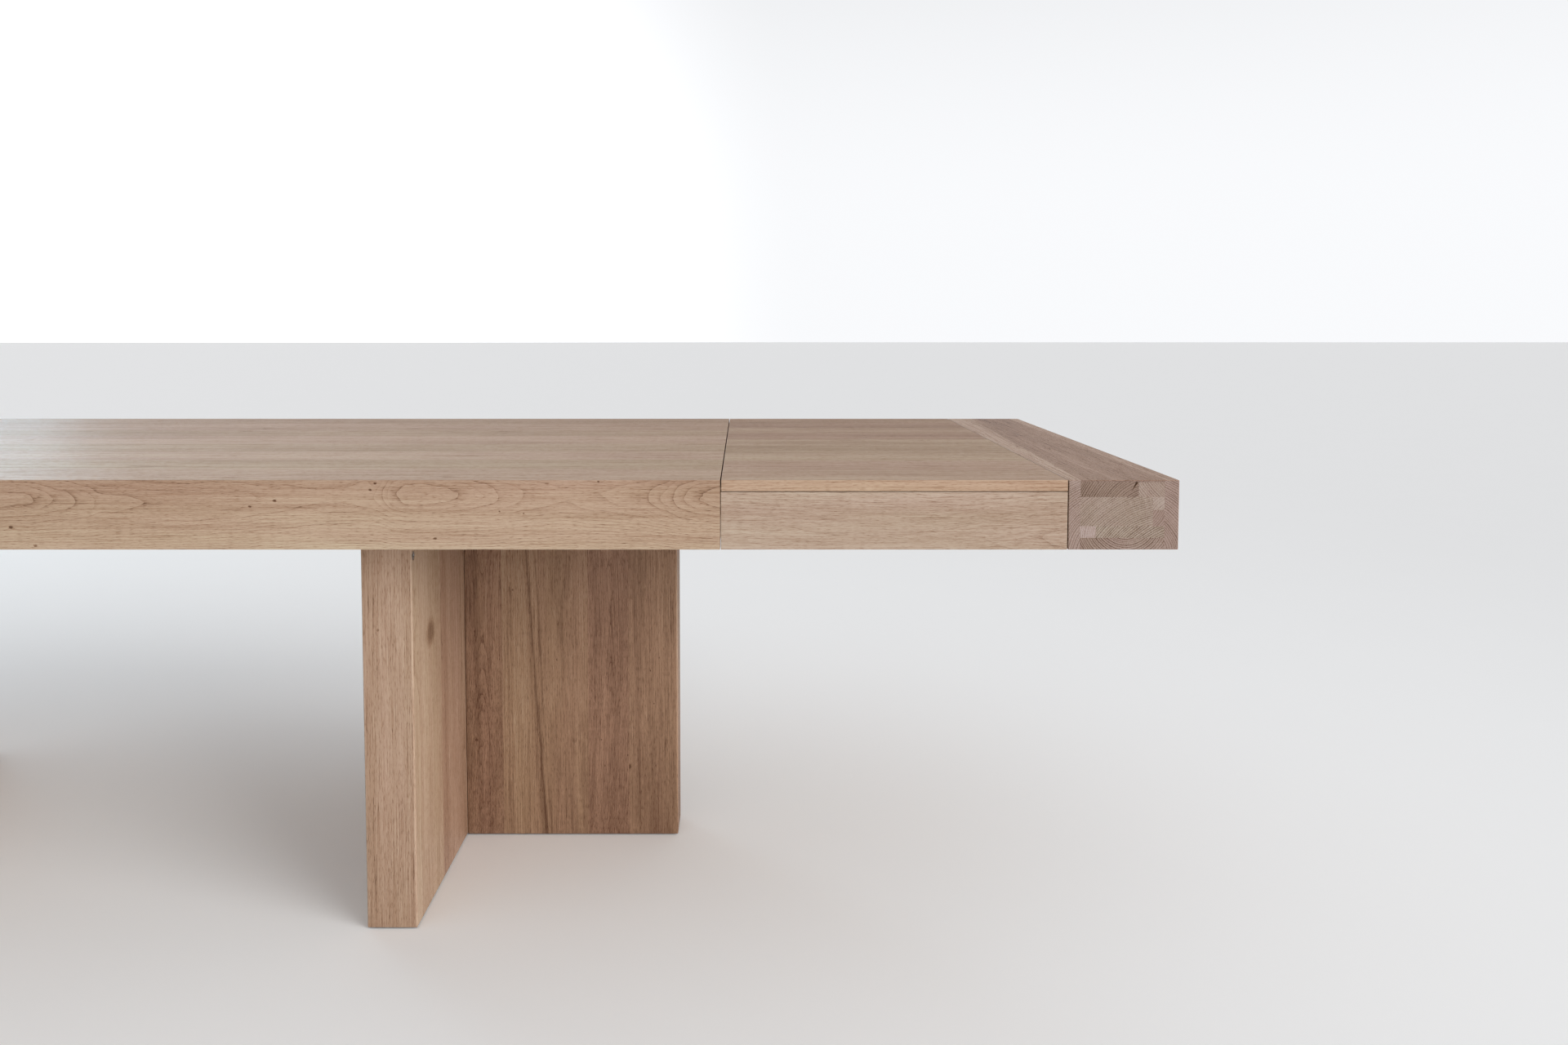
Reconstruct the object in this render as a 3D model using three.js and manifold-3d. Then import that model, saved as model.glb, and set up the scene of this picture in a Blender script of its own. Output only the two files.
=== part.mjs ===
// An extendable dining table in solid oak, standing on the floor.
// Millimetres, +Z up, +X towards the extended end, -Y towards the front.
// The origin is on the floor under the middle of the table as it stands: its right end is pulled
// out with an extension leaf in the gap, and its left end is closed with a leaf stored inside.
import * as THREE from "three";
import { mergeVertices } from "three/addons/utils/BufferGeometryUtils.js";
import Module from "manifold-3d";

const wasm = await Module();
wasm.setup();

// Driving dimensions
const HEIGHT = 760;
const WIDTH = 1000; // along Y
const TOP_LENGTH = 2270; // the fixed top, between the end beams
const LEAF_PITCH = 520; // what one leaf adds to the table's length
const BEAM = 165; // each end beam, along X
const DEPTH = 105; // from the top's surface to the frame's underside
const BOARD = 17; // thickness of the top and of the leaves
const APRON = 22; // thickness of the aprons and of the leaves' skirts
const JOINT = 1.5; // open joint between the top, a leaf and an end beam
const TOUCH = 0.3; // gap between pieces that touch
const EXTRA_PULL = 30; // how far an end pulls out past its leaf

// The frame
const RAIL = 35; // height of the cross rails
const END_RAIL = 70; // width of the rail at each end
const LEG_RAIL = 110; // width of the rail over each leg, and of the spine
const MIDDLE_RAIL = 120;

// The runners, and the strips that they slide between
const RUNNER = 40; // width
const RUNNER_Y = 320; // from the table's centre line to the runner's
const RUNNER_INNER = 1000; // from the fixed top's end to the runner's inner end, closed
const TENON = 40;
const GUIDE = 12; // width of a guide strip
const SLIDE = 0.5; // running clearance
const STOP_INSET = 30; // from the fixed top's end, over the end rail
const STOP = 30; // length of the stop block
const STOP_HEIGHT = 8;
const NOTCH = 10; // depth of the runner's notch over the stop block

// The legs, each a T of two panels
const LEG = 82; // thickness of both panels
const LEG_INSET = 500; // from the fixed top's end to the crosswise panel
const LEG_WIDTH = 752; // of the crosswise panel, along Y
const LEG_END_INSET = 92; // from the fixed top's end to the lengthwise panel's
const GLIDE = 14; // radius
const GLIDE_HEIGHT = 2;
const GLIDE_INSET = 45;

// The cam fittings that pull each leg up to the frame
const CAM = 7; // radius
const CAM_LENGTH = 12.5;
const CAM_DROP = 38; // from the frame's underside to the cam's axis
const CAM_INSET = 10.5; // from the panel's end to the cam's axis
const CAM_BOLT = 3; // radius
const CAM_BOLT_GRIP = 24; // length inside the rail

// The leaf's long hinges
const HINGE_LENGTH = 420;
const KNUCKLE = 2.5; // radius
const KNUCKLES = 7;
const PIN = 1.1; // radius
const FLAP = 20; // width of each hinge flap
const FLAP_THICK = 1.5;
const SEAM = 1; // between the leaf's board and its skirts
const BATTEN_LENGTH = 440;
const BATTEN = 36; // width
const BATTEN_HEIGHT = 22;

// Worked out from those
const HALF_TOP = TOP_LENGTH / 2;
const HALF_WIDTH = WIDTH / 2;
const FRAME_X = -LEAF_PITCH / 2; // the fixed top's middle
const UNDERSIDE = HEIGHT - DEPTH; // of the frame
const BOARD_UNDER = HEIGHT - BOARD;
const RAIL_TOP = UNDERSIDE + RAIL;
const RUNNER_TOP = BOARD_UNDER - SLIDE;
const RUNNER_BOTTOM = RAIL_TOP + SLIDE;
const LEG_OUT = HALF_TOP - LEG_INSET; // the crosswise panel's outer face, from the middle
const LEAF_LENGTH = LEAF_PITCH - JOINT;
const SKIRT = DEPTH - BOARD - SEAM; // height of a skirt
const FOLDED = BOARD + SEAM / 2 + APRON; // thickness of a leaf with its skirts folded in
const SEGMENTS = 24;

const LEFT = { name: "left", sign: -1, out: 0 };
const RIGHT = { name: "right", sign: 1, out: LEAF_PITCH };
const FRONT = { name: "front", sign: -1 };
const BACK = { name: "back", sign: 1 };

const finish = (color, roughness, metalness = 0) =>
  new THREE.MeshStandardMaterial({ color, roughness, metalness });
const oak = finish(0xbf9f82, 0.5);
const topOak = finish(0xb79e86, 0.45);
const innerWood = finish(0xcdb493, 0.65);
const steel = finish(0xb4b6b8, 0.35, 1);
const felt = finish(0x4d463f, 0.95);

const table = new THREE.Group();

function add(name, geometry, material, group = table) {
  const mesh = new THREE.Mesh(geometry, material);
  mesh.name = name;
  group.add(mesh);
  return mesh;
}

// A box between two corners, given as a low and high value along each axis.
function block([x0, x1], [y0, y1], [z0, z1]) {
  const box = new THREE.BoxGeometry(x1 - x0, y1 - y0, z1 - z0);
  return box.translate((x0 + x1) / 2, (y0 + y1) / 2, (z0 + z1) / 2);
}

// A low and high value either side of a centre.
function about(centre, half) {
  return [centre - half, centre + half];
}

// Two distances from the fixed top's middle, towards one end, as a low and high X.
function along(end, near, far) {
  const ends = [FRAME_X + end.sign * near, FRAME_X + end.sign * far];
  return ends.sort((a, b) => a - b);
}

// An outline of (y, z) points, extruded along X.
function extrudeX(outline, [x0, x1]) {
  const shape = new THREE.Shape(outline.map(([y, z]) => new THREE.Vector2(y, z)));
  const solid = new THREE.ExtrudeGeometry(shape, { depth: x1 - x0, bevelEnabled: false });
  solid.rotateX(Math.PI / 2).rotateZ(Math.PI / 2);
  return solid.translate(x0, 0, 0);
}

// An outline of (x, z) points, extruded along Y.
function extrudeY(outline, [y0, y1]) {
  const shape = new THREE.Shape(outline.map(([x, z]) => new THREE.Vector2(x, z)));
  const solid = new THREE.ExtrudeGeometry(shape, { depth: y1 - y0, bevelEnabled: false });
  return solid.rotateX(Math.PI / 2).translate(0, y1, 0);
}

function rodX(radius, [x0, x1], y, z) {
  const rod = new THREE.CylinderGeometry(radius, radius, x1 - x0, SEGMENTS);
  return rod.rotateZ(Math.PI / 2).translate((x0 + x1) / 2, y, z);
}

function rodZ(radius, x, y, [z0, z1]) {
  const rod = new THREE.CylinderGeometry(radius, radius, z1 - z0, SEGMENTS);
  return rod.rotateX(Math.PI / 2).translate(x, y, (z0 + z1) / 2);
}

// A geometry as a manifold solid, and back again.
function toSolid(geometry) {
  const bare = geometry.clone();
  bare.deleteAttribute("normal");
  bare.deleteAttribute("uv");
  const merged = mergeVertices(bare);
  const vertProperties = new Float32Array(merged.attributes.position.array);
  const triVerts = new Uint32Array(merged.index.array);
  return new wasm.Manifold(new wasm.Mesh({ numProp: 3, vertProperties, triVerts }));
}

function toGeometry(solid) {
  const mesh = solid.getMesh();
  const geometry = new THREE.BufferGeometry();
  geometry.setAttribute("position", new THREE.BufferAttribute(mesh.vertProperties, 3));
  geometry.setIndex(new THREE.BufferAttribute(mesh.triVerts, 1));
  geometry.computeVertexNormals();
  return geometry;
}

function carve(geometry, cuts) {
  return toGeometry(cuts.reduce((body, cut) => body.subtract(toSolid(cut)), toSolid(geometry)));
}

function join(pieces) {
  return toGeometry(pieces.map(toSolid).reduce((whole, piece) => whole.add(piece)));
}

// The fixed top: a board mitred along both long edges to the aprons that hang from it.
function addTop() {
  const length = along(RIGHT, -HALF_TOP, HALF_TOP);
  const edge = HALF_WIDTH - TOUCH * Math.SQRT2;
  const board = [
    [-edge, HEIGHT],
    [-edge + BOARD, BOARD_UNDER],
    [edge - BOARD, BOARD_UNDER],
    [edge, HEIGHT],
  ];
  add("main_top", extrudeX(board, length), topOak);
  for (const side of [FRONT, BACK]) {
    const lip = BOARD + TOUCH;
    const apron = [
      [HALF_WIDTH, UNDERSIDE],
      [HALF_WIDTH, HEIGHT],
      [HALF_WIDTH - lip, HEIGHT - lip],
      [HALF_WIDTH - APRON, HEIGHT - lip],
      [HALF_WIDTH - APRON, UNDERSIDE],
    ].map(([y, z]) => [side.sign * y, z]);
    add(`apron_${side.name}`, extrudeX(apron, length), oak);
  }
}

// The flat rails between the aprons, which carry the guides, the legs and the stored leaves.
function addRails() {
  const inside = about(0, HALF_WIDTH - APRON - TOUCH);
  const height = [UNDERSIDE, RAIL_TOP];
  add("middle_rail", block(about(FRAME_X, MIDDLE_RAIL / 2), inside, height), innerWood);
  for (const end of [LEFT, RIGHT]) {
    const legX = LEG_OUT - LEG / 2;
    const endX = HALF_TOP - 1;
    const legSpan = along(end, legX - LEG_RAIL / 2, legX + LEG_RAIL / 2);
    const spineSpan = along(end, legX + LEG_RAIL / 2 + TOUCH, endX - END_RAIL - TOUCH);
    const sockets = [FRONT, BACK].map((side) => {
      const [x, y] = camBoltPlace(end, side);
      return rodZ(CAM_BOLT + TOUCH, x, y, [UNDERSIDE - 1, UNDERSIDE + CAM_BOLT_GRIP + TOUCH]);
    });
    add(`end_rail_${end.name}`, block(along(end, endX - END_RAIL, endX), inside, height), innerWood);
    add(`leg_rail_${end.name}`, carve(block(legSpan, inside, height), sockets), innerWood);
    add(`leg_spine_${end.name}`, block(spineSpan, about(0, LEG_RAIL / 2), height), innerWood);
  }
}

// Two strips on each side, which the runners slide between, and a stop block on each end rail.
function addGuides() {
  const length = along(RIGHT, -HALF_TOP + 1, HALF_TOP - 1);
  for (const side of [FRONT, BACK]) {
    const offset = RUNNER / 2 + SLIDE + GUIDE / 2;
    for (const [place, shift] of [["inner", -offset], ["outer", offset]]) {
      const across = about(side.sign * (RUNNER_Y + shift), GUIDE / 2);
      const strip = block(length, across, [RAIL_TOP + TOUCH, BOARD_UNDER - TOUCH]);
      add(`guide_strip_${side.name}_${place}`, strip, innerWood);
    }
    for (const end of [LEFT, RIGHT]) {
      const far = HALF_TOP - STOP_INSET;
      const across = about(side.sign * RUNNER_Y, RUNNER / 2 - 1);
      const height = [RAIL_TOP + TOUCH, RAIL_TOP + TOUCH + STOP_HEIGHT];
      const stop = block(along(end, far - STOP, far), across, height);
      add(`runner_stop_${end.name}_${side.name}`, stop, innerWood);
    }
  }
}

// Where a leg's cam bolt stands: its X and Y.
function camBoltPlace(end, side) {
  const x = FRAME_X + end.sign * (LEG_OUT - CAM_LENGTH / 2);
  return [x, side.sign * (LEG_WIDTH / 2 - CAM_INSET)];
}

// A leg: a panel across the table, one from its middle towards the end, the cams and the glides.
function addLeg(end) {
  const height = [GLIDE_HEIGHT, UNDERSIDE - TOUCH];
  const camZ = UNDERSIDE - CAM_DROP;
  const cuts = [];
  for (const side of [FRONT, BACK]) {
    const [x, y] = camBoltPlace(end, side);
    const pocket = along(end, LEG_OUT - CAM_LENGTH - 2 * TOUCH, LEG_OUT + 1);
    const camSpan = along(end, LEG_OUT - CAM_LENGTH - TOUCH, LEG_OUT - TOUCH);
    const slotSpan = along(end, LEG_OUT - 3, LEG_OUT);
    const slots = [
      block(slotSpan, about(y, CAM - 2), about(camZ, 1)),
      block(slotSpan, about(y, 1), about(camZ, CAM - 2)),
    ];
    cuts.push(rodX(CAM + TOUCH, pocket, y, camZ));
    cuts.push(rodZ(CAM_BOLT + TOUCH, x, y, [camZ, UNDERSIDE]));
    const boltSpan = [camZ + CAM + TOUCH, UNDERSIDE + CAM_BOLT_GRIP];
    add(`cam_${end.name}_${side.name}`, carve(rodX(CAM, camSpan, y, camZ), slots), steel);
    add(`cam_bolt_${end.name}_${side.name}`, rodZ(CAM_BOLT, x, y, boltSpan), steel);
  }
  const cross = block(along(end, LEG_OUT - LEG, LEG_OUT), about(0, LEG_WIDTH / 2), height);
  const longSpan = along(end, LEG_OUT + TOUCH, HALF_TOP - LEG_END_INSET);
  add(`leg_cross_${end.name}`, carve(cross, cuts), oak);
  add(`leg_long_${end.name}`, block(longSpan, about(0, LEG / 2), height), oak);

  const crossX = FRAME_X + end.sign * (LEG_OUT - LEG / 2);
  const endX = FRAME_X + end.sign * (HALF_TOP - LEG_END_INSET - GLIDE_INSET);
  const crossY = LEG_WIDTH / 2 - GLIDE_INSET;
  const glides = { front: [crossX, -crossY], back: [crossX, crossY], outer: [endX, 0] };
  for (const [place, [x, y]] of Object.entries(glides)) {
    add(`glide_${end.name}_${place}`, rodZ(GLIDE, x, y, [0, GLIDE_HEIGHT - TOUCH]), felt);
  }
}

// A sliding end: a solid beam with two runners tenoned into it.
function addEnd(end) {
  const face = HALF_TOP + JOINT + end.out;
  const mortises = [];
  for (const side of [FRONT, BACK]) {
    const across = about(side.sign * RUNNER_Y, RUNNER / 2);
    const inner = HALF_TOP - RUNNER_INNER + end.out;
    const notchInner = HALF_TOP - STOP_INSET - STOP - LEAF_PITCH - EXTRA_PULL - TOUCH + end.out;
    const notchOuter = HALF_TOP - STOP_INSET + 5 + end.out;
    const outline = [
      [inner, RUNNER_BOTTOM],
      [inner, RUNNER_TOP],
      [face + TENON, RUNNER_TOP],
      [face + TENON, RUNNER_BOTTOM],
      [notchOuter, RUNNER_BOTTOM],
      [notchOuter, RUNNER_BOTTOM + NOTCH],
      [notchInner, RUNNER_BOTTOM + NOTCH],
      [notchInner, RUNNER_BOTTOM],
    ].map(([x, z]) => [FRAME_X + end.sign * x, z]);
    const mortise = [across[0] - TOUCH, across[1] + TOUCH];
    const mortiseHeight = [RUNNER_BOTTOM - TOUCH, RUNNER_TOP + TOUCH];
    mortises.push(block(along(end, face - 1, face + TENON + TOUCH), mortise, mortiseHeight));
    add(`${end.name}_runner_${side.name}`, extrudeY(outline, across), innerWood);
  }
  const beam = block(along(end, face, face + BEAM), about(0, HALF_WIDTH), [UNDERSIDE, HEIGHT]);
  add(`${end.name}_end_beam`, carve(beam, mortises), oak);
}

// The spans of a hinge's knuckles: the even ones belong to the board, the odd ones to the skirt.
function knuckleSpans(first) {
  const pitch = HINGE_LENGTH / KNUCKLES;
  const spans = [];
  for (let i = first; i < KNUCKLES; i += 2) {
    const start = i * pitch - HINGE_LENGTH / 2;
    spans.push([start + TOUCH / 2, start + pitch - TOUCH / 2]);
  }
  return spans;
}

// The hinge flap under the board, with its knuckles and the pin, about the hinge's axis.
function boardFlap() {
  const clear = KNUCKLE + TOUCH;
  const height = [KNUCKLE - FLAP_THICK, KNUCKLE];
  const pieces = [block(about(0, HINGE_LENGTH / 2), [clear, FLAP], height)];
  pieces.push(rodX(PIN, about(0, HINGE_LENGTH / 2), 0, 0));
  for (const span of knuckleSpans(0)) {
    pieces.push(rodX(KNUCKLE, span, 0, 0));
    pieces.push(block(span, [0, clear + 1], height));
  }
  return join(pieces);
}

// The flap on the skirt's inner face, its knuckles bored for the pin.
function skirtFlap() {
  const clear = KNUCKLE + TOUCH;
  const thickness = [-FLAP_THICK - TOUCH, -TOUCH];
  const pieces = [block(about(0, HINGE_LENGTH / 2), thickness, [-FLAP, -clear])];
  for (const span of knuckleSpans(1)) {
    const bore = rodX(PIN + TOUCH, [span[0] - 1, span[1] + 1], 0, 0);
    const web = block(span, thickness, [-clear - 1, -KNUCKLE + 0.6]);
    pieces.push(carve(rodX(KNUCKLE, span, 0, 0), [bore]), web);
  }
  return join(pieces);
}

// An extension leaf about the middle of its upper face: a board on two battens, with a skirt
// hinged under each end of it that folds in flat for storage.
function makeLeaf(name, fold) {
  const leaf = new THREE.Group();
  const length = about(0, LEAF_LENGTH / 2);
  const hingeZ = -BOARD - SEAM / 2;
  const hingeY = HALF_WIDTH - APRON;
  const clear = KNUCKLE + 2 * TOUCH;
  const hingeSpan = about(0, HINGE_LENGTH / 2 + 1);

  const board = block(length, about(0, HALF_WIDTH), [-BOARD, 0]);
  const pockets = [FRONT, BACK].map((side) => {
    const across = [side.sign * (hingeY + clear), side.sign * (hingeY - FLAP - TOUCH)];
    across.sort((a, b) => a - b);
    return block(hingeSpan, across, [-BOARD - 1, hingeZ + KNUCKLE + TOUCH]);
  });
  add(`${name}_board`, carve(board, pockets), topOak, leaf);

  for (const side of [FRONT, BACK]) {
    const battenY = side.sign * (RUNNER_Y - RUNNER / 2 - 2 - BATTEN / 2);
    const battenZ = [-BOARD - TOUCH - BATTEN_HEIGHT, -BOARD - TOUCH];
    const batten = block(about(0, BATTEN_LENGTH / 2), about(battenY, BATTEN / 2), battenZ);
    add(`${name}_batten_${side.name}`, batten, innerWood, leaf);

    const end = new THREE.Group();
    end.rotation.z = side === FRONT ? 0 : Math.PI;
    const axis = new THREE.Group();
    axis.position.set(0, -hingeY, hingeZ);
    const hung = new THREE.Group();
    hung.rotation.x = fold;
    const skirt = block(length, [-APRON, 0], [-SEAM / 2 - SKIRT, -SEAM / 2]);
    const skirtCuts = [
      block(hingeSpan, [-clear, 1], [-clear, 0]),
      block(hingeSpan, [-FLAP_THICK - 2 * TOUCH, 1], [-FLAP - TOUCH, 0]),
    ];
    add(`${name}_skirt_${side.name}`, carve(skirt, skirtCuts), oak, hung);
    add(`${name}_hinge_lower_${side.name}`, skirtFlap(), steel, hung);
    add(`${name}_hinge_upper_${side.name}`, boardFlap(), steel, axis);
    leaf.add(end.add(axis.add(hung)));
  }
  return leaf;
}

// The right leaf lies in the gap. The left one lies in the frame, turned a quarter, skirts folded.
function addLeaves() {
  const inUse = makeLeaf("right_leaf", 0);
  inUse.position.set(FRAME_X + HALF_TOP + (JOINT + LEAF_PITCH) / 2, 0, HEIGHT);
  const stored = makeLeaf("left_leaf", Math.PI / 2);
  stored.rotation.z = Math.PI / 2;
  stored.position.set(FRAME_X - 15 - HALF_WIDTH, 0, RAIL_TOP + TOUCH + FOLDED);
  table.add(inUse, stored);
}

addTop();
addRails();
addGuides();
for (const end of [LEFT, RIGHT]) {
  addLeg(end);
  addEnd(end);
}
addLeaves();

export default table;
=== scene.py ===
"""An extendable dining table in solid oak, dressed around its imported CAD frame.

The pieces that show from outside are rebuilt as timber: glued staves with eased arrises, whose
corners carry their own place in a log, so one procedural wood gives flat-sawn figure, straight edge
grain and end grain where each belongs. The pieces inside keep their CAD solids, with eased edges.
Metres, +Z up, +X towards the pulled-out end, -Y the front.
"""

import math
import random

import bmesh
import bpy
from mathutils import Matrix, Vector, noise


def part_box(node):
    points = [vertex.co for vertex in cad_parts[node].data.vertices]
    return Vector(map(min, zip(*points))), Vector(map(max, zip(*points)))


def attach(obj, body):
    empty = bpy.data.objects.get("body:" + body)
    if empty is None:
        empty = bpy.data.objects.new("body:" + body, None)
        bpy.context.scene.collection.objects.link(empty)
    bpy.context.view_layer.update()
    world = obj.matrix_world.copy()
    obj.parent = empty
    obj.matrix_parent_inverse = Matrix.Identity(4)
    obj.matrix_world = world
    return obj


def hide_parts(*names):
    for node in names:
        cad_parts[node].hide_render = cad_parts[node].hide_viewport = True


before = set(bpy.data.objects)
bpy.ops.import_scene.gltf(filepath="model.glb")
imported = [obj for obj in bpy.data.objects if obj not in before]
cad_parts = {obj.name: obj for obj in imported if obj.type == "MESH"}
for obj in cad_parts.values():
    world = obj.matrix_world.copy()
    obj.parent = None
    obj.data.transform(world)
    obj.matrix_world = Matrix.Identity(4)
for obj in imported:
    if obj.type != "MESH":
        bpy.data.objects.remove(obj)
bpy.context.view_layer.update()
X, Y, Z = 0, 1, 2
MM = 0.001


# --- Node helpers ---------------------------------------------------------------------------


class Graph:
    """A node tree with short calls: each returns the socket that the next one takes."""

    def __init__(self, tree):
        self.tree = tree

    def node(self, kind, **settings):
        made = self.tree.nodes.new(kind)
        for key, value in settings.items():
            setattr(made, key, value)
        return made

    def feed(self, socket, value):
        if isinstance(value, bpy.types.NodeSocket):
            self.tree.links.new(value, socket)
        elif value is not None:
            socket.default_value = value

    def math(self, operation, a, b=None, c=None, clamp=False):
        made = self.node("ShaderNodeMath", operation=operation, use_clamp=clamp)
        for socket, value in zip(made.inputs, (a, b, c)):
            self.feed(socket, value)
        return made.outputs[0]

    def add(self, *terms):
        total = terms[0]
        for term in terms[1:]:
            total = self.math("ADD", total, term)
        return total

    def mul(self, a, b):
        return self.math("MULTIPLY", a, b)

    def bell(self, value):
        """A bell curve: 1 at 0, and nearly 0 past 2 either way."""
        return self.math("EXPONENT", self.mul(self.math("POWER", value, 2.0), -1.0))

    def vector(self, operation, a, b=None):
        made = self.node("ShaderNodeVectorMath", operation=operation)
        self.feed(made.inputs[0], a)
        self.feed(made.inputs[1], b)
        return made.outputs["Value" if operation in ("LENGTH", "DOT_PRODUCT") else "Vector"]

    def split(self, vector):
        made = self.node("ShaderNodeSeparateXYZ")
        self.feed(made.inputs[0], vector)
        return made.outputs[0], made.outputs[1], made.outputs[2]

    def combine(self, x, y, z):
        made = self.node("ShaderNodeCombineXYZ")
        for socket, value in zip(made.inputs, (x, y, z)):
            self.feed(socket, value)
        return made.outputs[0]

    def noise(self, vector, detail=2.0, roughness=0.5, centred=True):
        made = self.node("ShaderNodeTexNoise", noise_dimensions="3D")
        self.feed(made.inputs["Vector"], vector)
        made.inputs["Scale"].default_value = 1.0
        made.inputs["Detail"].default_value = detail
        made.inputs["Roughness"].default_value = roughness
        return self.math("SUBTRACT", made.outputs[0], 0.5) if centred else made.outputs[0]

    def ease(self, value, low, high, to_low=0.0, to_high=1.0):
        made = self.node("ShaderNodeMapRange", interpolation_type="SMOOTHSTEP")
        for socket, given in zip(made.inputs, (value, low, high, to_low, to_high)):
            self.feed(socket, given)
        return made.outputs[0]

    def ramp(self, value, stops):
        made = self.node("ShaderNodeValToRGB")
        elements = made.color_ramp.elements
        while len(elements) < len(stops):
            elements.new(0.5)
        for element, (place, colour) in zip(elements, stops):
            element.position = place
            element.color = (*colour, 1.0)
        self.feed(made.inputs[0], value)
        return made.outputs[0]

    def mix(self, factor, a, b, blend="MIX"):
        made = self.node("ShaderNodeMix", data_type="RGBA", blend_type=blend)
        for socket, value in zip((made.inputs[0], made.inputs[6], made.inputs[7]), (factor, a, b)):
            self.feed(socket, (*value, 1.0) if isinstance(value, tuple) else value)
        return made.outputs[2]

    def bump(self, shader, height, distance, strength=1.0):
        """Gives a shader relief: a height of 1 stands out by the distance, times the strength."""
        made = self.node("ShaderNodeBump")
        made.inputs["Distance"].default_value = distance
        made.inputs["Strength"].default_value = strength
        self.feed(made.inputs["Height"], height)
        self.feed(shader.inputs["Normal"], made.outputs[0])


def new_material(name):
    """An empty material, the Graph that builds it, and its shader."""
    material = bpy.data.materials.new(name)
    material.use_nodes = True
    graph = Graph(material.node_tree)
    shader = material.node_tree.nodes["Principled BSDF"]
    return material, graph, shader


def linear(red, green, blue):
    """A colour, 0 to 255, as linear light."""
    return tuple(((c / 255 + 0.055) / 1.055) ** 2.4 for c in (red, green, blue))


# --- Wood -----------------------------------------------------------------------------------

RING = 3.1 * MM  # mean width of a growth ring
RIPPLE = 3.6 * MM  # how far the rings are bent, from the slow bends to the quick ones
QUIVER = 1.4 * MM
FRAY = 0.5 * MM
LINE_SHARPNESS = 10.0  # of the dark line that starts each year's early wood
BAND_SHARPNESS = 2.0  # of the early wood's fading after it
MEAN_DEPTH = 0.375  # of the colour, before figure and grain are added


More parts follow.
